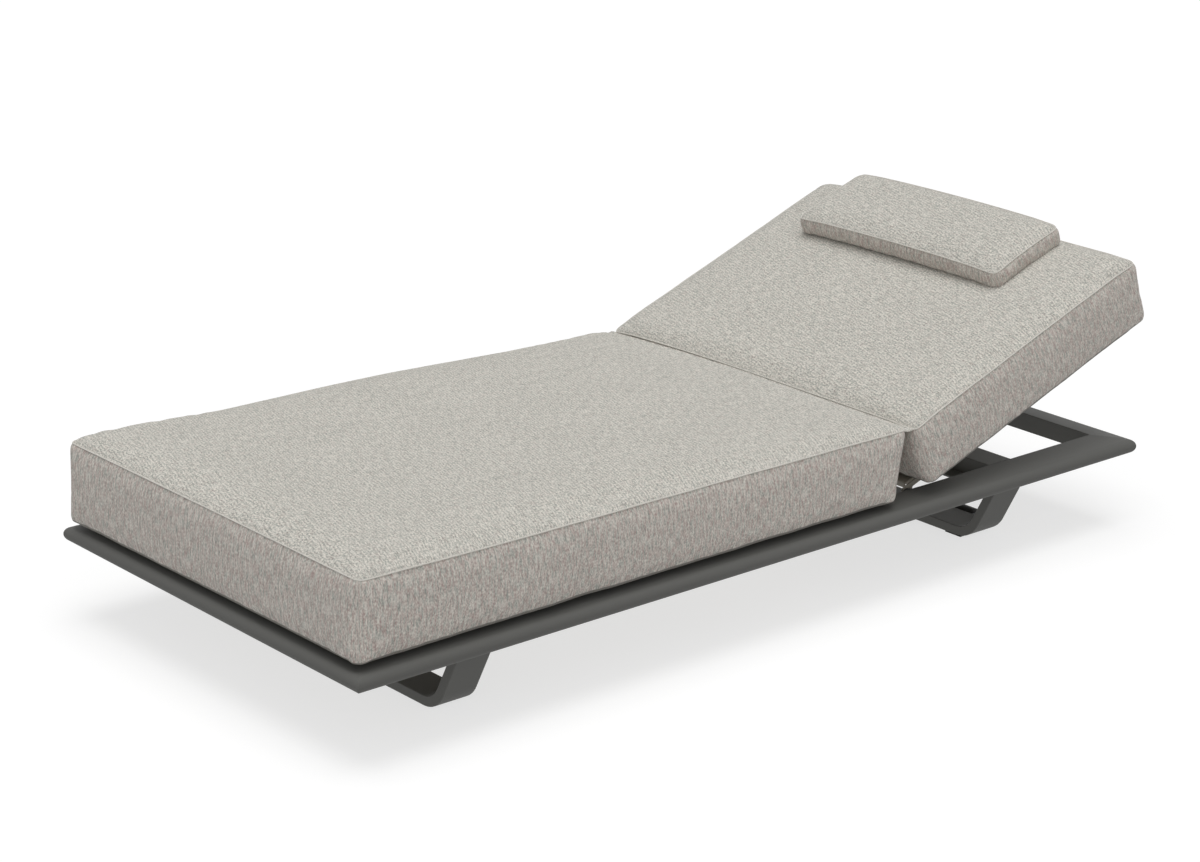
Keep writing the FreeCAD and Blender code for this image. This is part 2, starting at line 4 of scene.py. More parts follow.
import bmesh
import bpy
from bpy.props import FloatProperty, FloatVectorProperty, PointerProperty
from mathutils import Matrix, Vector, kdtree, noise
from mathutils.bvhtree import BVHTree


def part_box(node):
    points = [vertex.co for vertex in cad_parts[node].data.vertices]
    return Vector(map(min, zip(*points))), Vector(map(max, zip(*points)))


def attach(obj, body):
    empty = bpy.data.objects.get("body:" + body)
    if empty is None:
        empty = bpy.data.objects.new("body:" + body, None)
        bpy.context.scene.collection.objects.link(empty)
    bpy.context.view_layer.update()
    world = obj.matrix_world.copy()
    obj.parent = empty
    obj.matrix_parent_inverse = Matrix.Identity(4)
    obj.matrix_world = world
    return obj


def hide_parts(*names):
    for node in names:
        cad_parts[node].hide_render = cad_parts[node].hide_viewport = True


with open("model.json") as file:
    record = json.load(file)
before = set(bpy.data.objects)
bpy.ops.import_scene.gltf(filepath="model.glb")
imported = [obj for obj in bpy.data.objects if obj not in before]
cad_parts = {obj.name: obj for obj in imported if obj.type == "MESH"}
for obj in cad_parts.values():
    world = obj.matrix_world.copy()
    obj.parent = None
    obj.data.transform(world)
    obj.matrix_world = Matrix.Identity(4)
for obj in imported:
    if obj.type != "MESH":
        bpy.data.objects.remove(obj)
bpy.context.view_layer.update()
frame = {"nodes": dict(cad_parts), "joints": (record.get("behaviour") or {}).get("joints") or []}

bl_info = {
    "name": "Relaxation lounger",
    "version": (1, 0, 0),
    "blender": (4, 5, 0),
    "location": "3D View > Sidebar > Lounger",
    "description": "Mattresses, head pillow, finishes and studio for a reclining lounger frame",
    "category": "Object",
}

# The back deck at rest: its own frame starts at the recline axis and runs along the deck
RECLINE = next(joint for joint in frame["joints"] if joint["name"] == "back_recline")
HINGE = Vector(RECLINE["pos_m"])
REST_TIP = math.radians(-RECLINE["range_deg"][0])
TIPPED = Matrix.Translation(HINGE) @ Matrix.Rotation(-REST_TIP, 4, "Y")

SEAT_LOW, SEAT_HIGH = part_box("seat_cushion")
MATTRESS_WIDTH = 0.950


# Settings shown in the sidebar


def tone(red, green, blue):
    """A colour read off a screen, 0 to 255, as Blender's linear numbers."""
    shares = (value / 255 for value in (red, green, blue))
    return tuple(s / 12.92 if s <= 0.04045 else ((s + 0.055) / 1.055) ** 2.4 for s in shares)


def amount(name, description, default, **more):
    return FloatProperty(name=name, description=description, default=default, **{"min": 0.0, **more})


def distance(name, description, default):
    return amount(name, description, default, unit="LENGTH", subtype="DISTANCE")


def angle(name, description, degrees):
    return amount(name, description, math.radians(degrees), subtype="ANGLE")


def colour(name, description, default):
    return FloatVectorProperty(name=name, description=description, default=default, size=3,
                               min=0.0, max=1.0, subtype="COLOR")


class SeatMattress(bpy.types.PropertyGroup):
    length: distance("Length", "From the foot end to the fold, along the top seam", SEAT_HIGH.x - SEAT_LOW.x)
    width: distance("Width", "Across", MATTRESS_WIDTH)
    foot_band: distance("Foot band", "Height of the side band at the foot end", 0.1560)
    head_band: distance("Fold band", "Height of the side band at the fold", 0.1495)
    foot_crown: distance("Foot crown", "How far the top panel stands above its seam at the foot end", 0.020)
    head_crown: distance("Fold crown", "How far the top panel stands above its seam at the fold", 0.008)
    slump: distance("Slump", "How far the far side has settled down and in at the fold", 0.018)
    foot_swell: distance("Foot swell", "How much thicker the filling makes the foot end", 0.007)
    corner: distance("Corner radius", "Radius of the four upright corners", 0.020)
    upper: distance("Upper radius", "Radius where the top panel meets the side band", 0.018)
    lower: distance("Lower radius", "Radius where the side band turns under", 0.009)
    head_lean: distance("Fold lean", "How far the fold face steps back at its foot", 0.0245)
    puff: distance("Puff", "The most that the filling pushes the cloth out", 0.006)
    net: distance("Cloth net", "Size of the cloth's squares", 0.009)


class BackMattress(bpy.types.PropertyGroup):
    length: distance("Length", "From the fold to the head end", 0.679)
    width: distance("Width", "Across", MATTRESS_WIDTH)
    band: distance("Band", "Height of the side band", 0.1505)
    crown: distance("Crown", "How far the top panel stands above its seam", 0.016)
    corner: distance("Corner radius", "Radius of the four upright corners", 0.020)
    upper: distance("Upper radius", "Radius where the top panel meets the side band", 0.018)
    lower: distance("Lower radius", "Radius where the side band turns under", 0.012)
    slump: distance("Slump", "How far the far side has settled down and in", 0.016)
    puff: distance("Puff", "The most that the filling pushes the cloth out", 0.006)
    net: distance("Cloth net", "Size of the cloth's squares", 0.009)
    start: distance("Start", "From the recline axis to the fold end, along the back deck", 0.013)
    rise: distance("Rise", "From the recline axis up to the underside, square to the back deck", 0.0254)


class HeadPillow(bpy.types.PropertyGroup):
    length: distance("Depth", "Along the back mattress", 0.209)
    width: distance("Width", "Across the back mattress", 0.600)
    band: distance("Band", "Height of the side band", 0.0495)
    crown: distance("Crown", "How far the top panel stands above its seam", 0.008)
    corner: distance("Corner radius", "Radius of the four upright corners", 0.022)
    upper: distance("Upper radius", "Radius where the top panel meets the side band", 0.015)
    lower: distance("Lower radius", "Radius where the side band turns under", 0.016)
    puff: distance("Puff", "The most that the filling pushes the cloth out", 0.005)
    net: distance("Cloth net", "Size of the cloth's squares", 0.006)
    start: distance("Start", "From the recline axis to the pillow, along the back deck", 0.457)
    rise: distance("Rise", "From the recline axis up to the underside, square to the back deck", 0.191)
    sag: distance("Sag", "How far the pillow's sides come down over the mattress", 0.0067)


class Stitching(bpy.types.PropertyGroup):
    crease: distance("Crease", "Depth of the crease along a seam", 0.0005)
    crease_width: distance("Crease width", "Half width of the crease along a seam", 0.0035)
    welt: distance("Welt", "Radius of the folded edge in a seam", 0.0013)
    pitch: distance("Stitch pitch", "From one stitch to the next", 0.0065)
    stitch: distance("Stitch length", "Length of a stitch", 0.0044)
    thread: distance("Thread", "Thickness of a stitch", 0.0009)
    inset: distance("Inset", "From the seam to the row of stitches on the top panel", 0.003)


class Cloth(bpy.types.PropertyGroup):
    light: colour("Light yarn", "The lightest yarns of the weave", tone(226, 222, 213))
    dark: colour("Dark yarn", "The darker grey yarns of the weave", tone(148, 150, 143))
    warm: colour("Warm yarn", "The darker rosy yarns of the weave", tone(170, 149, 143))
    # The welts wear the thread colour too: a painted highlight along each seam
    thread: colour("Thread", "Sewing thread", tone(222, 219, 211))
    underside: colour("Underside", "The cloth under the mattresses", tone(112, 104, 97))
    yarn: distance("Yarn", "From one yarn to the next", 0.0019)
    rib: distance("Rib", "From one faint rib of the weave to the next", 0.0062)


class Coatings(bpy.types.PropertyGroup):
    frame: colour("Frame", "Powder coat of the frame", tone(93, 93, 90))
    deck: colour("Deck", "Powder coat of the decks", tone(154, 148, 137))
    rubber: colour("Rubber", "Pads and buffers", tone(24, 22, 21))
    nylon: colour("Nylon", "Rollers", tone(26, 25, 24))
    steel: colour("Steel", "Pins, axles and screws", tone(186, 186, 184))
    casting: colour("Casting", "Recline fittings", tone(122, 123, 124))


class Studio(bpy.types.PropertyGroup):
    daylight: amount("Daylight", "Strength of the even light from all round", 0.26)
    key: amount("Key", "Strength of the broad light from above", 1.55)
    key_spread: angle("Key spread", "Width of the broad light", 42)
    fill: amount("Fill", "Strength of the broad light from the camera's side", 0.80)
    fill_spread: angle("Fill spread", "Width of the light from the camera's side", 90)
    lens: amount("Lens", "Focal length in millimetres", 94.104, min=10.0, unit="CAMERA")
    glow: amount("Glow", "How much the floor is lifted towards white where the camera sees it", 0.67, max=1.0)
    paint: amount("Paint", "How much of the floor's light and shade the camera sees", 0.39, max=1.0)
    bounce: amount("Bounce", "Light that the floor gives of itself", 0.55)
    floor: colour("Floor", "Floor of the studio", (0.06, 0.06, 0.06))


class LoungerSettings(bpy.types.PropertyGroup):
    seat: PointerProperty(type=SeatMattress)
    back: PointerProperty(type=BackMattress)
    pillow: PointerProperty(type=HeadPillow)
    stitching: PointerProperty(type=Stitching)
    cloth: PointerProperty(type=Cloth)
    coatings: PointerProperty(type=Coatings)
    studio: PointerProperty(type=Studio)


# Shader nodes


class Signal:
    """A number socket whose signs join Math nodes to it."""

    def __init__(self, nodes, socket):
        self.nodes = nodes
        self.socket = socket

    def math(self, operation, *values):
        return self.nodes.signal("ShaderNodeMath", {"operation": operation}, dict(enumerate(values)))

    def __add__(self, other):
        return self.math("ADD", self, other)

    def __sub__(self, other):
        return self.math("SUBTRACT", self, other)

    def __mul__(self, other):
        return self.math("MULTIPLY", self, other)

    def __rsub__(self, other):
        return self.math("SUBTRACT", other, self)

    __radd__ = __add__
    __rmul__ = __mul__

    def larger(self, other):
        return self.math("MAXIMUM", self, other)

    def off_middle(self, weight):
        """A texture's noise about its middle, times a weight."""
        return (self - 0.5) * weight

    def waves(self, pitch, shift=0.0):
        """A sine that comes back after each pitch."""
        turns = self * (2 * math.pi / pitch) + shift
        return turns.math("SINE", turns)


class Nodes:
    """A node tree under way."""

    def __init__(self, tree):
        self.tree = tree

    def join(self, value, socket):
        """Links a signal or an output to an input, or writes a plain value there."""
        value = value.socket if isinstance(value, Signal) else value
        if isinstance(value, bpy.types.NodeSocket):
            self.tree.links.new(value, socket)
        elif socket.type == "RGBA" and len(value) == 3:
            socket.default_value = (*value, 1.0)
        else:
            socket.default_value = value

    def node(self, kind, settings=None, sockets=None):
        made = self.tree.nodes.new(kind)
        for setting, value in (settings or {}).items():
            setattr(made, setting, value)
        for socket, value in (sockets or {}).items():
            self.join(value, made.inputs[socket])
        return made

    def signal(self, kind, settings=None, sockets=None):
        return Signal(self, self.node(kind, settings, sockets).outputs[0])


class Finish(Nodes):
    """A material under way. Fixed values go to its shader by name."""

    def __init__(self, name, **fixed):
        self.material = bpy.data.materials.new(name)
        self.material.use_nodes = True
        super().__init__(self.material.node_tree)
        self.shader = self.tree.nodes["Principled BSDF"]
        for socket, value in fixed.items():
            self.give(socket.replace("_", " "), value)

    def give(self, socket, value):
        """Joins a value to one of the shader's inputs."""
        self.join(value, self.shader.inputs[socket])

    def place(self):
        return self.node("ShaderNodeTexCoord").outputs["Object"]

    def cloth_place(self):
        return self.node("ShaderNodeAttribute", {"attribute_name": "cloth_place"}).outputs["Vector"]

    def stretch(self, vector, factors):
        made = self.node("ShaderNodeVectorMath", {"operation": "MULTIPLY"}, {0: vector, 1: factors})
        return made.outputs[0]

    def parts(self, vector):
        split = self.node("ShaderNodeSeparateXYZ", None, {0: vector})
        return [Signal(self, split.outputs[axis]) for axis in range(3)]

    def speckle(self, vector, scale=1.0, detail=2.0, roughness=0.5):
        sockets = {"Vector": vector, "Scale": scale, "Detail": detail, "Roughness": roughness}
        return self.signal("ShaderNodeTexNoise", None, sockets)

    def ramp(self, value, low, high):
        sockets = {"Value": value, "From Min": low, "From Max": high}
        return self.signal("ShaderNodeMapRange", {"interpolation_type": "SMOOTHSTEP"}, sockets)

    def mix(self, factor, first, second):
        made = self.node("ShaderNodeMix", {"data_type": "RGBA"}, {0: factor, 6: first, 7: second})
        return made.outputs[2]

    def bump(self, height, strength, depth):
        made = self.node("ShaderNodeBump", None, {"Height": height, "Strength": strength, "Distance": depth})
        self.give("Normal", made.outputs[0])


def tinted(base, factor, lift=0.0):
    return tuple(value * factor + lift for value in base)


def shared(maker, *given):
    """A material that several pieces wear, made once, under its maker's name."""
    return bpy.data.materials.get(maker.__name__) or maker(*given)


# The weave's noises, in waves to the metre across, along and up
STREAKS = (210.0, 42.0, 0.0)
FLECKS = (430.0, 210.0, 0.0)
HUES = (260.0, 50.0, 0.0)
DRIFT = (9.0, 9.0, 9.0)

# Lengths in the weave and its lining, in metres
RIB_BEND = 0.016
YARN_WANDER = 0.0012
YARN_DEPTH = 0.00055
LINING_ROW = 0.0026
LINING_TOP = (0.0035, 0.0055)
LINING_FRAY = 0.002


def heathered_cloth(settings):
    """Upholstery cloth: mixed yarns down the sides, a speckled weave on top, a darker cloth underneath. The
    tops are painted lighter and less rosy than the sides, as painted light.
    """
    finish = Finish("heathered_cloth", Sheen_Weight=0.12, Sheen_Roughness=0.6, Specular_IOR_Level=0.25)
    place = finish.cloth_place()
    across, along, height = finish.parts(place)
    streaks = finish.speckle(finish.stretch(place, STREAKS), detail=3.0, roughness=0.65)
    flecks = finish.speckle(finish.stretch(place, FLECKS), roughness=0.6)
    drift = finish.speckle(finish.stretch(place, DRIFT))
    hues = finish.speckle(finish.stretch(place, HUES), detail=1.0)
    on_top = finish.ramp(height, 0.5, 0.6)
    slant = across * 0.96 - along * 0.28 + drift.off_middle(RIB_BEND)
    ribs = slant.waves(settings.rib) * (0.35 + flecks * 0.9) * on_top
    # Painted light: the tops are 0.08 lighter in the yarn mix than the bands, with painted shade down the sides
    shade = (0.46 + on_top * 0.08 + streaks.off_middle(2.0 - on_top * 0.4)
             + flecks.off_middle(2.0 + on_top * 1.1) + drift.off_middle(0.15) + ribs * 0.15)
    # Painted light: the tops take less of the rosy yarns than the bands, a painted difference in the light's
    # tint
    rosy = finish.ramp(hues - on_top * 0.06 + 0.03, 0.42, 0.60) * (1 - on_top * 0.6)
    darker = finish.mix(rosy, settings.dark, settings.warm)
    weave = finish.mix(finish.ramp(shade, -0.1, 1.1), darker, settings.light)
    rows = (height + across * 0.35 + along * 0.35).waves(LINING_ROW)
    lining = finish.mix(rows * 0.25 + 0.4, settings.underside, settings.dark)
    above = finish.ramp(height + flecks.off_middle(LINING_FRAY), *LINING_TOP)
    finish.give("Base Color", finish.mix(above, lining, weave))
    finish.give("Roughness", 0.93 - flecks * 0.12)
    wander = streaks.off_middle(YARN_WANDER)
    crossings = (across + wander).waves(settings.yarn) * (along + wander).waves(settings.yarn, 0.7)
    finish.bump(crossings * 0.3 + flecks * 0.9 + streaks * 0.8, strength=0.55, depth=YARN_DEPTH)
    return finish.material


def thread_and_welt_highlight(settings):
    """Spun thread with a little fuzz. The welts wear it too, so its lighter colour along each seam is a painted
    highlight.
    """
    finish = Finish("thread_and_welt_highlight", Roughness=0.8, Sheen_Weight=0.2)
    fuzz = finish.speckle(finish.place(), scale=900.0)
    fibres = finish.mix(finish.ramp(fuzz, 0.3, 0.7), tinted(settings.thread, 0.82), settings.thread)
    finish.give("Base Color", fibres)
    finish.bump(fuzz, strength=0.4, depth=0.0002)
    return finish.material


def powder_coat(name, base):
    """Fine-textured powder coat with a soft gloss."""
    finish = Finish(name, Specular_IOR_Level=0.4)
    place = finish.place()
    grain = finish.speckle(place, scale=1500.0, detail=3.0, roughness=0.6)
    cloud = finish.speckle(place, scale=14.0, detail=3.0, roughness=0.55)
    finish.give("Base Color", finish.mix(grain * 0.6 + cloud * 0.4, tinted(base, 0.93), tinted(base, 1.06)))
    finish.give("Roughness", 0.5 + grain * 0.1 + cloud * 0.1)
    finish.bump(grain, strength=0.22, depth=0.00025)
    return finish.material


def moulded(name, base, rough, grain_scale):
    """Moulded rubber or nylon, with a dull skin and a little dust."""
    finish = Finish(name, Specular_IOR_Level=0.35)
    place = finish.place()
    grain = finish.speckle(place, scale=grain_scale, detail=3.0, roughness=0.6)
    dust = finish.ramp(finish.speckle(place, scale=45.0, detail=3.0, roughness=0.6), 0.5, 0.85)
    finish.give("Base Color", finish.mix(dust * 0.5 + grain * 0.12, base, tinted(base, 1.7, lift=0.008)))
    finish.give("Roughness", rough + grain * 0.15 + dust * 0.08)
    finish.bump(grain, strength=0.3, depth=0.0003)
    return finish.material


def bare_metal(name, base, rough, stretch):
    """Plated or cast metal: drawn lines where stretch is uneven, grain where it is even."""
    finish = Finish(name, Metallic=1.0)
    place = finish.place()
    lines = finish.speckle(finish.stretch(place, stretch), detail=3.0, roughness=0.6)
    stain = finish.speckle(place, scale=60.0)
    finish.give("Base Color", finish.mix(lines * 0.5 + stain * 0.4, tinted(base, 0.72), base))
    finish.give("Roughness", rough + lines * 0.18)
    finish.bump(lines, strength=0.2, depth=0.0002)
    return finish.material


# Shaping

TINY = 1e-9
TOUCH = 1e-5
DOWN = Vector((0.0, 0.0, -1.0))

# Steps of the cloth's net beside an edge, and how much closer it is on a band than on top
EDGE_STEPS = (0.0, 0.003, 0.007, 0.012, 0.018)
BAND_NET = 0.9

# How a cushion is drawn in: reaches from an edge, and depths, in metres
CORNER_REACH = 0.075
CROWN_EDGE_REACH = 0.05
CROWN_BODY_REACH = 0.24
HEM_REACH = 0.05
HEM_WAVE = 0.0022
WAIST = 0.002
SWAY = 0.0014

# Where each form starts or ends, as a share of the cushion's length or height
SWELL_END = 0.28
BULGE_END = 0.1
SLUMP_START = 0.45
CROWN_START = 0.86
DROP_START = 0.5
HEM_END = 0.45
LEAN_FOOT_END = 0.2
LEAN_HEAD_START = 0.8

# How much of its setting each form takes
CORNER_LIFT = 0.5
SWELL_FAR_SIDE = 0.4
BULGE = 1.1
SLUMP_PULL = 0.8
CROWN_EDGE = 0.62
CROWN_BODY = 0.38

# The noise of the lower edge and of the sides: waves to the metre, and where the second one is drawn
HEM_WAVE_PACE = 7.0
SWAY_PACE = (11.0, 9.0)
SWAY_SEED = 3.0

# How the filling pushes the cloth
PRESSURE = 4.0
CLOTH_FRAMES = 20
CLOTH_SETTINGS = {"quality": 4, "mass": 0.3, "tension_stiffness": 12, "compression_stiffness": 12,
                  "shear_stiffness": 4, "bending_stiffness": 0.6, "shrink_min": -0.012, "use_pressure": True,
                  "uniform_pressure_force": PRESSURE, "vertex_group_mass": "held"}
SEAM_PUSH = 0.3
SEAM_REACH = 0.05
HELD_UNDER = 0.5

# The seams: steps along a welt, the widths in which a crease dies out, and how a stitch finds the cloth
WELT_STEP = 0.006
WELT_GAP = 1e-4
CREASE_TAIL = 3
STITCH_DROP = 0.05
STITCH_LIFT = 0.15


def holder(name, data):
    thing = bpy.data.objects.new(name, data)
    bpy.context.scene.collection.objects.link(thing)
    return thing


def outcome(thing):
    """The mesh of an object as its modifiers or its bevel leave it. The object goes."""
    graph = bpy.context.evaluated_depsgraph_get()
    mesh = bpy.data.meshes.new_from_object(thing.evaluated_get(graph))
    bpy.data.objects.remove(thing)
    return mesh


def mesh_of(shape, name):
    mesh = bpy.data.meshes.new(name)
    shape.to_mesh(mesh)
    shape.free()
    return mesh


def points_of(mesh):
    return [vertex.co.copy() for vertex in mesh.vertices]


def flat_list(places):
    return [value for place in places for value in place]


def move_points(mesh, places):
    mesh.vertices.foreach_set("co", flat_list(places))
    mesh.update()


def mark(mesh, name, kind, domain, values):
    key = "vector" if kind == "FLOAT_VECTOR" else "value"
    mesh.attributes.new(name, kind, domain).data.foreach_set(key, values)


def shade_smooth(mesh):
    mesh.polygons.foreach_set("use_smooth", [True] * len(mesh.polygons))


def modified(mesh, name, kind, **settings):
    """The mesh as one modifier leaves it, under its own name."""
    thing = holder("work", mesh)
    modifier = thing.modifiers.new("work", kind)
    for setting, value in settings.items():
        setattr(modifier, setting, value)
    made = outcome(thing)
    made.name = name
    return made


def smoothstep(low, high, value):
    share = min(1.0, max(0.0, (value - low) / (high - low)))
    return share * share * (3 - 2 * share)


def fading(reach, value):
    """Falls smoothly from 1 at zero to 0 at the reach."""
    return 1 - smoothstep(0.0, reach, value)


def falling(reach, value):
    """Falls from 1 at zero to 0 at the reach, steeply at first."""
    return max(0.0, 1 - value / reach) ** 2


def between(pair, share):
    return pair[0] + (pair[1] - pair[0]) * share


def stations(length, pitch):
    """Places along a side, closer together at its two ends."""
    reach = EDGE_STEPS[-1]
    count = max(2, round((length - 2 * reach) / pitch))
    middle = [reach + (length - 2 * reach) * number / count for number in range(1, count)]
    return [*EDGE_STEPS, *middle, *(length - place for place in reversed(EDGE_STEPS))]


class Form:
    """The form that a plain block is drawn into.

    Its first end is at 0, the middle across at 0, the underside at 0. Pairs hold the values at the first end
    and at the last.
    """

    def __init__(self, own, bands, crowns, seed, leans=(0.0, 0.0), sag=0.0, lift=0.0, drop=0.0, swell=0.0,
                 slumps=(0.0, 0.0)):
        self.length, self.width, self.bands, self.crowns = own.length, own.width, bands, crowns
        self.corner, self.upper, self.lower = own.corner, own.upper, own.lower
        self.leans, self.sag, self.lift, self.drop = leans, sag, lift, drop
        self.swell, self.slumps, self.seed = swell, slumps, seed
        self.height = max(bands)

    def inside(self, point):
        """How far a point lies inside the block's upright sides."""
        return min(point.x, self.length - point.x, self.width / 2 - abs(point.y))

    def on_seam(self, point):
        return point.z > self.height - TOUCH and self.inside(point) < TOUCH

    def is_held(self, point):
        """Whether the cloth is held here: along the seam, and underneath."""
        return self.on_seam(point) or (point.z < TOUCH and self.inside(point) > self.lower * HELD_UNDER)

    def net(self, pitch):
        """The closed block as a net of squares, closer at its edges."""
        sides = ((self.length, pitch), (self.width, pitch), (self.height, pitch * BAND_NET))
        places = [stations(*side) for side in sides]
        shape = bmesh.new()
        bmesh.ops.create_cube(shape, size=1.0)
        bmesh.ops.translate(shape, vec=(0.5, 0.5, 0.5), verts=shape.verts)
        for axis in range(3):
            across = [e for e in shape.edges if abs(e.verts[0].co[axis] - e.verts[1].co[axis]) > 0.5]
            bmesh.ops.subdivide_edges(shape, edges=across, cuts=len(places[axis]) - 2, use_grid_fill=True)
        for vertex in shape.verts:
            spots = [own[round(share * (len(own) - 1))] for own, share in zip(places, vertex.co)]
            vertex.co = (spots[0], spots[1] - self.width / 2, spots[2])
        bmesh.ops.recalc_face_normals(shape, faces=shape.faces)
        return mesh_of(shape, "net")

    def rolled(self, radius, reach, depth):
        """A point's reach and depth once an edge between a side and a flat is round."""
        inset, rise = radius - (self.corner - reach), radius - depth
        if inset <= 0 or rise <= 0:
            return reach, depth
        share = max(inset, rise) / math.hypot(inset, rise)
        return self.corner - radius + inset * share, radius - rise * share

    def rounded(self, point):
        """The point once the upright corners and the upper and lower edges are round."""
        half = self.width / 2 - self.corner
        along = min(max(point.x, self.corner), self.length - self.corner)
        inner = Vector((along, min(max(point.y, -half), half)))
        off = point.xy - inner
        reach = max(abs(off.x), abs(off.y))
        if reach < TINY:
            return point.copy()
        way = off.normalized()
        reach, low = self.rolled(self.lower, reach, point.z)
        reach, high = self.rolled(self.upper, reach, self.height - low)
        return Vector((*(inner + way * reach), self.height - high))

    def near_corner(self, point):
        """How near a point is to an upright edge, up to 1."""
        far_x = max(0.0, abs(point.x - self.length / 2) - self.length / 2 + CORNER_REACH)
        far_y = max(0.0, abs(point.y) - self.width / 2 + CORNER_REACH)
        return far_x * far_y / CORNER_REACH ** 2

    def crown(self, point):
        """How far the top panel stands above its seam."""
        rise = between(self.crowns, point.x / self.length)
        for depth in (point.x, self.length - point.x, self.width / 2 - abs(point.y)):
            edge, body = falling(CROWN_EDGE_REACH, depth), falling(CROWN_BODY_REACH, depth)
            rise *= 1 - CROWN_EDGE * edge - CROWN_BODY * body
        return rise

    def hem(self, point, tall):
        """How far the lower edge is lifted, in slight waves."""
        wave = noise.noise(Vector((point.x * HEM_WAVE_PACE, point.y * HEM_WAVE_PACE, self.seed)))
        lift = self.lift * (1 + CORNER_LIFT * self.near_corner(point)) + HEM_WAVE * abs(wave)
        return fading(HEM_END, tall) * fading(HEM_REACH, self.inside(point)) * lift

    def drawn(self, point):
        """Where a point of the block goes."""
        share = point.x / self.length
        side = point.y / (self.width / 2)
        tall = point.z / self.height
        spot = self.rounded(point)
        tall_now = spot.z / self.height
        slump = between(self.slumps, smoothstep(SLUMP_START, 1.0, share))
        band = between(self.bands, share)
        band += self.swell * (1 + SWELL_FAR_SIDE * side) * fading(SWELL_END, share)
        band -= slump * max(0.0, side) ** 2
        height = tall_now * band + self.crown(point) * smoothstep(CROWN_START, 1.0, tall)
        height -= self.sag * side * side
        height -= self.drop * self.near_corner(point) * smoothstep(DROP_START, 1.0, tall)
        height += self.hem(point, tall)
        lean = self.leans[0] * fading(LEAN_FOOT_END, share)
        lean -= self.leans[1] * smoothstep(LEAN_HEAD_START, 1.0, share)
        pull = WAIST * (1 - (2 * share - 1) ** 2) + slump * SLUMP_PULL * max(0.0, side)
        pace_x, pace_z = SWAY_PACE
        sway = SWAY * noise.noise(Vector((point.x * pace_x, point.z * pace_z, self.seed + SWAY_SEED)))
        across = spot.y * (1 - pull / (self.width / 2)) + sway * side
        bulge = self.swell * BULGE * (0.5 + 0.5 * side) ** 2 * fading(BULGE_END, share)
        return Vector((spot.x + lean * (1 - tall_now) - bulge, across, height))

    def seam(self, step, inset=0.0):
        """Points round the block's top edge, or round a line inside it."""
        near, far = inset, self.length - inset
        half = self.width / 2 - inset
        corners = [Vector((near, -half)), Vector((far, -half)), Vector((far, half)), Vector((near, half))]
        points = []
        for first, second in zip(corners, corners[1:] + corners[:1]):
            count = max(1, round((second - first).length / step))
            points.extend(Vector((*first.lerp(second, turn / count), self.height)) for turn in range(count))
        return points


def cloth_places(mesh, start):
    """Where each corner of each face lies on its panel: across the yarns, along them, and how high.

    The height is that above the underside on a band, 1 on the top panel and 0 underneath.
    """
    places = []
    for face in mesh.polygons:
        spots = [start[number] for number in face.vertices]
        flat = max(spot.z for spot in spots) - min(spot.z for spot in spots) < TOUCH
        end = max(spot.x for spot in spots) - min(spot.x for spot in spots) < TOUCH
        for spot in spots:
            if flat:
                places.append((spot.x, spot.y, float(spot.z > 0)))
            else:
                places.append((spot.y if end else spot.x, spot.z, spot.z))
    return flat_list(places)


def simulated_push(mesh, held):
    """Where the filling's pressure pushes the cloth, with some of its vertices held."""
    thing = holder("cloth", mesh)
    group = thing.vertex_groups.new(name="held")
    group.add(held, 1.0, "REPLACE")
    cloth = thing.modifiers.new("cloth", "CLOTH")
    for setting, value in CLOTH_SETTINGS.items():
        setattr(cloth.settings, setting, value)
    cloth.settings.effector_weights.gravity = 0
    cloth.point_cache.frame_start = 1
    cloth.point_cache.frame_end = CLOTH_FRAMES
    for frame_number in range(1, CLOTH_FRAMES + 1):
        bpy.context.scene.frame_set(frame_number)
    swollen = outcome(thing)
    moved = points_of(swollen)
    bpy.data.meshes.remove(swollen)
    bpy.context.scene.frame_set(1)
    return moved


def puff(form, mesh, start, cap):
    """Lets the filling push the cloth out, by no more than the cap and less beside a seam."""
    held = [number for number, point in enumerate(start) if form.is_held(point)]
    normals = [vertex.normal.copy() for vertex in mesh.vertices]
    rest = points_of(mesh)
    moved = simulated_push(mesh, held)
    pinned = set(held)
    places = []
    for number, (point, before, after) in enumerate(zip(start, rest, moved)):
        push = after - before
        far = push.length
        if number in pinned:
            places.append(before + normals[number] * cap * SEAM_PUSH * (point.z > 0))
        else:
            off_seam = max(form.inside(point), form.height - point.z)
            room = cap * (SEAM_PUSH + (1 - SEAM_PUSH) * smoothstep(0.0, SEAM_REACH, off_seam))
            places.append(before + push * (room * math.tanh(far / room) / max(far, TINY)))
    move_points(mesh, places)


def nearest_of(points):
    tree = kdtree.KDTree(len(points))
    for number, point in enumerate(points):
        tree.insert(point, number)
    tree.balance()
    return tree


def crease(mesh, line, depth, reach):
    """Draws the cloth in along a line of points."""
    tree = nearest_of(line)
    tail = reach * CREASE_TAIL
    lowest = min(point.z for point in line) - tail
    places = points_of(mesh)
    normals = [vertex.normal.copy() for vertex in mesh.vertices]
    for number, place in enumerate(places):
        if place.z > lowest:
            gap = tree.find(place)[2]
            if gap < tail:
                place -= normals[number] * depth * math.exp(-((gap / reach) ** 2))
    move_points(mesh, places)


def welt_line(form, seam_points):
    """The places of the welt, which follows the cloth's own points along the seam."""
    tree = nearest_of(seam_points)
    line = []
    for point in form.seam(WELT_STEP):
        place = tree.find(form.drawn(point))[0]
        if not line or (place - line[-1]).length > WELT_GAP:
            line.append(place)
    return line


def stitch_rows(form, mesh, sewing):
    """Where the stitches lie on the cloth, and the way up there."""
    skin = BVHTree.FromPolygons(points_of(mesh), [face.vertices for face in mesh.polygons])
    rows = []
    for point in form.seam(sewing.pitch, sewing.inset):
        above = form.drawn(point) + Vector((0.0, 0.0, STITCH_DROP))
        place, normal = skin.ray_cast(above, DOWN)[:2]
        if place is not None:
            rows.append((place, normal))
    return rows


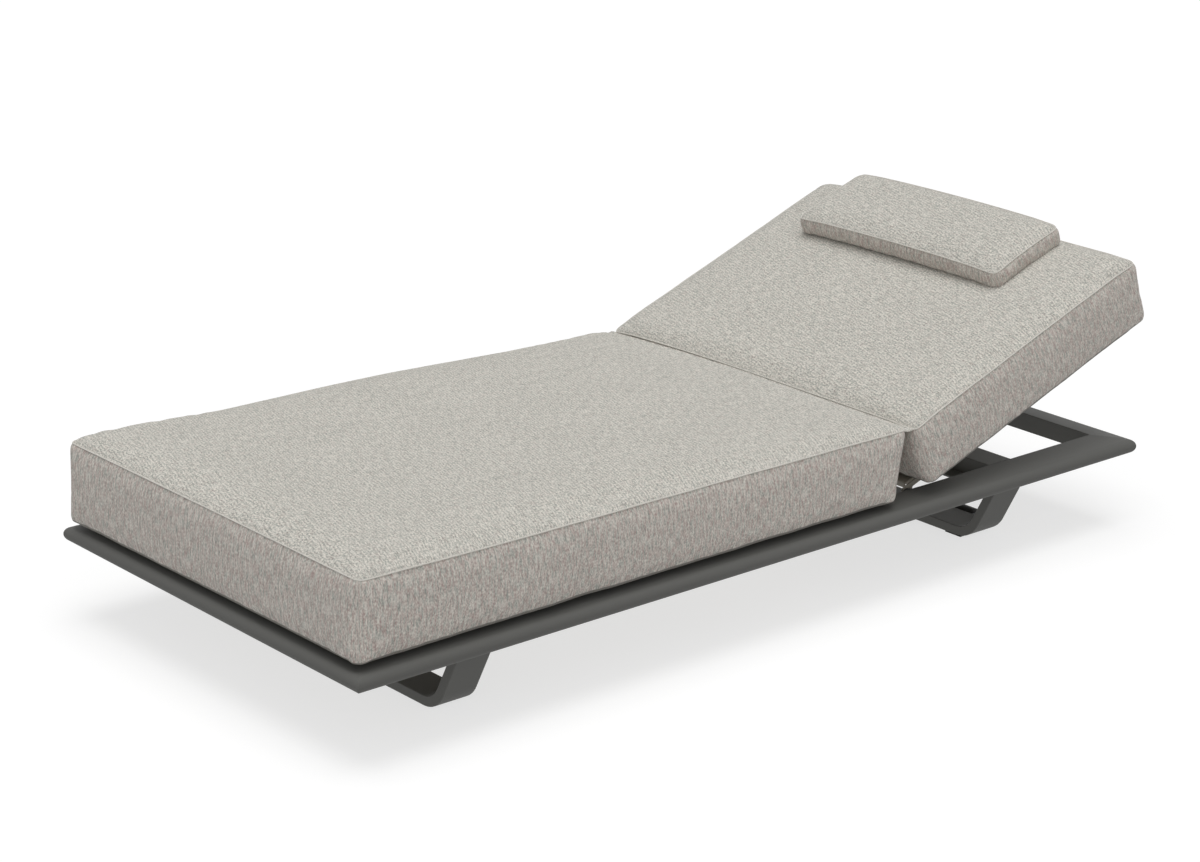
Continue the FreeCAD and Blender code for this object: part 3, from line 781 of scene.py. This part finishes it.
def upholster(name, form, own, sewing):
    """A cushion's skin in its own frame, the line of its welt and the places of its stitches."""
    mesh = form.net(own.net)
    start = points_of(mesh)
    on_seam = [form.on_seam(point) for point in start]
    folds = [float(all(on_seam[number] for number in edge.vertices)) for edge in mesh.edges]
    mark(mesh, "crease_edge", "FLOAT", "EDGE", folds)
    mark(mesh, "cloth_place", "FLOAT_VECTOR", "CORNER", cloth_places(mesh, start))
    move_points(mesh, [form.drawn(point) for point in start])
    puff(form, mesh, start, own.puff)
    mesh = modified(mesh, name, "SUBSURF", levels=1, render_levels=1)
    folded = [fold.value > 0.5 for fold in mesh.attributes["crease_edge"].data]
    edges = [edge for edge, is_fold in zip(mesh.edges, folded) if is_fold]
    seam = sorted({number for edge in edges for number in edge.vertices})
    crease(mesh, [mesh.vertices[number].co.copy() for number in seam], sewing.crease, sewing.crease_width)
    shade_smooth(mesh)
    mark(mesh, "sharp_edge", "BOOLEAN", "EDGE", folded)
    welt = welt_line(form, [mesh.vertices[number].co for number in seam])
    return mesh, welt, stitch_rows(form, mesh, sewing)


def welt_mesh(name, line, radius):
    """The folded edge in a seam, as a closed tube along its line."""
    curve = bpy.data.curves.new(name, "CURVE")
    curve.dimensions = "3D"
    curve.bevel_depth = radius
    curve.bevel_resolution = 1
    spline = curve.splines.new("POLY")
    spline.points.add(len(line) - 1)
    for point, place in zip(spline.points, line):
        point.co = (*place, 1.0)
    spline.use_cyclic_u = True
    mesh = outcome(holder("work", curve))
    mesh.name = name
    shade_smooth(mesh)
    return mesh


def stitch_mesh(name, rows, length, thickness):
    """A row of stitches lying on the cloth."""
    shape = bmesh.new()
    size = Matrix.Diagonal((length / 2, thickness / 2, thickness / 2, 1.0))
    for number, (point, normal) in enumerate(rows):
        before, after = rows[number - 1][0], rows[(number + 1) % len(rows)][0]
        way = (after - before).normalized()
        aside = normal.cross(way).normalized()
        turn = Matrix((way, aside, aside.cross(way) * -1)).transposed().to_4x4()
        place = Matrix.Translation(point + normal * thickness * STITCH_LIFT) @ turn @ size
        bmesh.ops.create_icosphere(shape, subdivisions=1, radius=1.0, matrix=place)
    bmesh.ops.recalc_face_normals(shape, faces=shape.faces)
    mesh = mesh_of(shape, name)
    shade_smooth(mesh)
    return mesh


def set_up(name, mesh, finish, body, place=Matrix.Identity(4)):
    """A finished mesh in its place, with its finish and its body."""
    mesh.transform(place)
    mesh.update()
    mesh.materials.clear()
    mesh.materials.append(finish)
    thing = holder(name, mesh)
    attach(thing, body)
    return thing


def dress(context, name, node, body, form, own, place):
    """A cushion with its welt and stitches, standing for its CAD solid."""
    settings = context.scene.lounger
    sewing = settings.stitching
    mesh, welt, rows = upholster(name, form, own, sewing)
    thread = shared(thread_and_welt_highlight, settings.cloth)
    pad = set_up(name, mesh, shared(heathered_cloth, settings.cloth), body, place)
    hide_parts(node)
    # The welt wears the lighter thread finish: a painted highlight along the seam
    edge = set_up(name + "_welt", welt_mesh(name + "_welt", welt, sewing.welt), thread, body, place)
    seam = stitch_mesh(name + "_stitches", rows, sewing.stitch, sewing.thread)
    seam = set_up(name + "_stitches", seam, thread, body, place)
    if not all(piece.data.polygons for piece in (pad, edge, seam)):
        raise RuntimeError(name + " came out empty")


# Pieces

# The fold strip: how far its seams lie in from the ends of the two mattresses, below the band's top and in
# from the sides, how much cloth the seams take up, how thick it is and how far it sags in waves
STRIP_IN_SEAT = 0.004
STRIP_IN_BACK = 0.014
STRIP_DEPTH = 0.0085
STRIP_MARGIN = 0.010
STRIP_ALLOWANCE = 0.003
STRIP_THICKNESS = 0.0012
STRIP_SAG = 0.0015
STRIP_WAVE, STRIP_WAVE_PACE, STRIP_SEED = 0.6, 9.0, 2.0
STRIP_SQUARES = (8, 90)

FRAME_NODES = ("near_rail", "far_rail", "head_rail", "foot_rail", "head_crossbar", "hinge_crossbar",
               "mid_crossbar", "foot_crossbar", "head_sled", "foot_sled")
DECK_NODES = ("seat_deck", "back_deck", "back_beam", "recline_arms")
RUBBER_NODES = ("heel_pads", "foot_glides", "seat_pads", "deck_buffers")
NYLON_NODES = ("near_roller", "far_roller")
STEEL_NODES = ("roller_axles", "recline_pins", "seat_screws")
CAST_NODES = ("recline_brackets", "recline_fittings", "corner_keys", "roller_cheeks")
DRAWN_LINES = (300.0, 2400.0, 300.0)
CAST_GRAIN = (900.0, 900.0, 900.0)

WHITE = (1.0, 1.0, 1.0)
KEY_WAY = (0.0, 0.0, -1.0)
FILL_WAY = (0.42, 0.64, -0.64)
LAMP_PLACE = (0.0, 0.0, 3.0)
CAMERA_PLACE = (-3.8518, -4.5599, 2.3064)
CAMERA_WAY = (0.6047, 0.7291, -0.3205)
SENSOR_WIDTH = 36.0
SIGHT = 100.0
FLOOR_HALF = 30.0
FLOOR_DEPTH = 0.0004


class LOUNGER_OT_seat_mattress(bpy.types.Operator):
    """Makes the seat mattress, from the foot end to the fold"""
    bl_idname = "lounger.seat_mattress"
    bl_label = "Seat mattress"

    def execute(self, context):
        own = context.scene.lounger.seat
        form = Form(own, (own.foot_band, own.head_band), (own.foot_crown, own.head_crown), seed=1.0,
                    leans=(-0.008, own.head_lean), lift=0.0005, swell=own.foot_swell, slumps=(0.0, own.slump))
        place = Matrix.Translation((SEAT_LOW.x, 0.0, SEAT_LOW.z))
        dress(context, "seat_mattress", "seat_cushion", "frame", form, own, place)
        return {"FINISHED"}


class LOUNGER_OT_back_mattress(bpy.types.Operator):
    """Makes the back mattress, from the fold to the head end"""
    bl_idname = "lounger.back_mattress"
    bl_label = "Back mattress"

    def execute(self, context):
        own = context.scene.lounger.back
        form = Form(own, (own.band, own.band), (own.crown * 0.5, own.crown), seed=5.0,
                    leans=(0.005, 0.006), lift=0.005, drop=0.004, slumps=(own.slump, own.slump))
        place = TIPPED @ Matrix.Translation((own.start, 0.0, own.rise))
        dress(context, "back_pad", "back_cushion", "back_mattress", form, own, place)
        return {"FINISHED"}


class LOUNGER_OT_head_pillow(bpy.types.Operator):
    """Makes the flat pillow that lies on the back mattress"""
    bl_idname = "lounger.head_pillow"
    bl_label = "Head pillow"

    def execute(self, context):
        own = context.scene.lounger.pillow
        form = Form(own, (own.band, own.band), (own.crown, own.crown), seed=9.0, sag=own.sag, drop=0.003)
        place = TIPPED @ Matrix.Translation((own.start, 0.0, own.rise))
        dress(context, "pillow_pad", "head_pillow", "pillow", form, own, place)
        return {"FINISHED"}


class LOUNGER_OT_fold_strip(bpy.types.Operator):
    """Makes the strip of cloth that joins the two mattresses at the fold"""
    bl_idname = "lounger.fold_strip"
    bl_label = "Fold strip"

    def execute(self, context):
        settings = context.scene.lounger
        seat, back = settings.seat, settings.back
        first = SEAT_LOW.x + seat.length - STRIP_IN_SEAT
        last = (TIPPED @ Vector((back.start + STRIP_IN_BACK, 0.0, back.rise + back.band))).x
        seam = SEAT_LOW.z + seat.head_band - STRIP_DEPTH
        half = seat.width / 2 - STRIP_MARGIN
        shape = bmesh.new()
        bmesh.ops.create_grid(shape, x_segments=STRIP_SQUARES[0], y_segments=STRIP_SQUARES[1], size=0.5)
        bmesh.ops.scale(shape, vec=(last - first, 2 * half, 1.0), verts=shape.verts)
        bmesh.ops.translate(shape, vec=((first + last) / 2, 0.0, seam), verts=shape.verts)
        for vertex in shape.verts:
            share = (vertex.co.x - first) / (last - first)
            wave = noise.noise(Vector((vertex.co.y * STRIP_WAVE_PACE, share, STRIP_SEED)))
            sag = STRIP_SAG * math.sin(math.pi * share) * (1 + STRIP_WAVE * wave)
            vertex.co.z -= sag + seat.slump * max(0.0, vertex.co.y / half) ** 2
        bmesh.ops.recalc_face_normals(shape, faces=shape.faces)
        mesh = modified(mesh_of(shape, "net"), "fold_strip", "SOLIDIFY", thickness=STRIP_THICKNESS, offset=-1.0)
        places = [(vertex.co.x, vertex.co.y, 1.0) for vertex in mesh.vertices]
        mark(mesh, "cloth_place", "FLOAT_VECTOR", "POINT", flat_list(places))
        shade_smooth(mesh)
        strip = set_up("fold_strip", mesh, shared(heathered_cloth, settings.cloth), "frame")
        flat = (last - first + STRIP_ALLOWANCE, 2 * half)
        return {"FINISHED"}


def finish_nodes(names, made):
    for name in names:
        mesh = frame["nodes"][name].data
        mesh.materials.clear()
        mesh.materials.append(made)


class LOUNGER_OT_frame_finish(bpy.types.Operator):
    """Gives the frame, the crossbars, the feet and the decks their powder coat"""
    bl_idname = "lounger.frame_finish"
    bl_label = "Frame and decks"

    def execute(self, context):
        coats = context.scene.lounger.coatings
        finish_nodes(FRAME_NODES, powder_coat("frame_coat", coats.frame))
        finish_nodes(DECK_NODES, powder_coat("deck_coat", coats.deck))
        return {"FINISHED"}


class LOUNGER_OT_fittings_finish(bpy.types.Operator):
    """Finishes the rubber, the rollers and the metal fittings"""
    bl_idname = "lounger.fittings_finish"
    bl_label = "Fittings"

    def execute(self, context):
        coats = context.scene.lounger.coatings
        finish_nodes(RUBBER_NODES, moulded("soft_rubber", coats.rubber, rough=0.7, grain_scale=1400.0))
        finish_nodes(NYLON_NODES, moulded("roller_nylon", coats.nylon, rough=0.42, grain_scale=700.0))
        finish_nodes(STEEL_NODES, bare_metal("plated_steel", coats.steel, rough=0.28, stretch=DRAWN_LINES))
        finish_nodes(CAST_NODES, bare_metal("cast_grey", coats.casting, rough=0.42, stretch=CAST_GRAIN))
        return {"FINISHED"}


def looking(way):
    """How a lamp or a camera is turned to look that way, level from side to side."""
    return Vector(way).to_track_quat("-Z", "Y").to_euler()


class LOUNGER_OT_studio(bpy.types.Operator):
    """Sets up the floor, the light and the camera"""
    bl_idname = "lounger.studio"
    bl_label = "Studio"

    def execute(self, context):
        studio = context.scene.lounger.studio
        context.scene.view_settings.view_transform = "Standard"
        self.floor(studio)
        self.world(context, studio)
        self.lamp("key_light", studio.key, studio.key_spread, KEY_WAY)
        self.lamp("fill_light", studio.fill, studio.fill_spread, FILL_WAY)
        self.camera(context, studio)
        return {"FINISHED"}

    def floor(self, studio):
        shape = bmesh.new()
        bmesh.ops.create_grid(shape, x_segments=2, y_segments=2, size=FLOOR_HALF)
        bmesh.ops.translate(shape, vec=(0.0, 0.0, -FLOOR_DEPTH), verts=shape.verts)
        mesh = mesh_of(shape, "studio_floor")
        finish = Finish("floor_paint", Roughness=0.9, Specular_IOR_Level=0.0, Emission_Color=WHITE,
                        Emission_Strength=studio.bounce)
        mottle = finish.speckle(finish.place(), scale=3.0)
        finish.give("Base Color", finish.mix(mottle, tinted(studio.floor, 0.995), studio.floor))
        rays = finish.node("ShaderNodeLightPath").outputs
        paint = finish.node("ShaderNodeBsdfDiffuse", None, {"Color": (studio.paint,) * 3})
        glow = finish.node("ShaderNodeEmission", None, {"Color": WHITE, "Strength": studio.glow})
        seen = finish.node("ShaderNodeAddShader", None, {0: paint.outputs[0], 1: glow.outputs[0]})
        sockets = {0: rays["Is Camera Ray"], 1: finish.shader.outputs[0], 2: seen.outputs[0]}
        blend = finish.node("ShaderNodeMixShader", None, sockets)
        finish.join(blend.outputs[0], finish.tree.nodes["Material Output"].inputs["Surface"])
        mesh.materials.append(finish.material)
        holder("studio_floor", mesh)

    def world(self, context, studio):
        """Even light, and plain white where the camera or a reflection looks past the lounger."""
        world = bpy.data.worlds.new("studio_light")
        world.use_nodes = True
        nodes = Nodes(world.node_tree)
        nodes.tree.nodes.clear()
        even = nodes.node("ShaderNodeBackground", None, {"Color": WHITE, "Strength": studio.daylight})
        white = nodes.node("ShaderNodeBackground", None, {"Color": WHITE, "Strength": 1.0})
        rays = nodes.node("ShaderNodeLightPath").outputs
        past = Signal(nodes, rays["Is Camera Ray"]).larger(rays["Is Glossy Ray"])
        past = past.larger(rays["Is Transmission Ray"])
        blend = nodes.node("ShaderNodeMixShader", None, {0: past, 1: even.outputs[0], 2: white.outputs[0]})
        nodes.node("ShaderNodeOutputWorld", None, {"Surface": blend.outputs[0]})
        context.scene.world = world

    def lamp(self, name, strength, spread, way):
        data = bpy.data.lights.new(name, "SUN")
        data.angle = spread
        data.energy = strength
        lamp = holder(name, data)
        lamp.location = LAMP_PLACE
        lamp.rotation_euler = looking(way)

    def camera(self, context, studio):
        data = bpy.data.cameras.new("studio_camera")
        data.sensor_fit = "HORIZONTAL"
        data.sensor_width = SENSOR_WIDTH
        data.lens = studio.lens
        data.clip_end = SIGHT
        camera = holder("studio_camera", data)
        camera.location = CAMERA_PLACE
        camera.rotation_euler = looking(CAMERA_WAY)
        context.scene.camera = camera


class LOUNGER_PT_sidebar(bpy.types.Panel):
    """Lists the lounger's settings and pieces"""
    bl_label = "Relaxation lounger"
    bl_idname = "LOUNGER_PT_sidebar"
    bl_space_type = "VIEW_3D"
    bl_region_type = "UI"
    bl_category = "Lounger"

    def draw(self, context):
        settings = context.scene.lounger
        for group in settings.__annotations__:
            own = getattr(settings, group)
            box = self.layout.box()
            box.label(text=group.capitalize())
            for name in own.__annotations__:
                box.prop(own, name)
        for piece in OPERATORS:
            self.layout.operator(piece.bl_idname)


GROUPS = (SeatMattress, BackMattress, HeadPillow, Stitching, Cloth, Coatings, Studio, LoungerSettings)
OPERATORS = (LOUNGER_OT_studio, LOUNGER_OT_seat_mattress, LOUNGER_OT_back_mattress, LOUNGER_OT_head_pillow,
             LOUNGER_OT_fold_strip, LOUNGER_OT_frame_finish, LOUNGER_OT_fittings_finish)
CLASSES = (*GROUPS, *OPERATORS, LOUNGER_PT_sidebar)


def register():
    for own in CLASSES:
        bpy.utils.register_class(own)
    bpy.types.Scene.lounger = PointerProperty(type=LoungerSettings)


def unregister():
    del bpy.types.Scene.lounger
    for own in reversed(CLASSES):
        bpy.utils.unregister_class(own)


def main():
    register()
    for piece in OPERATORS:
        family, name = piece.bl_idname.split(".")
        getattr(getattr(bpy.ops, family), name)()


if __name__ == "__main__":
    main()
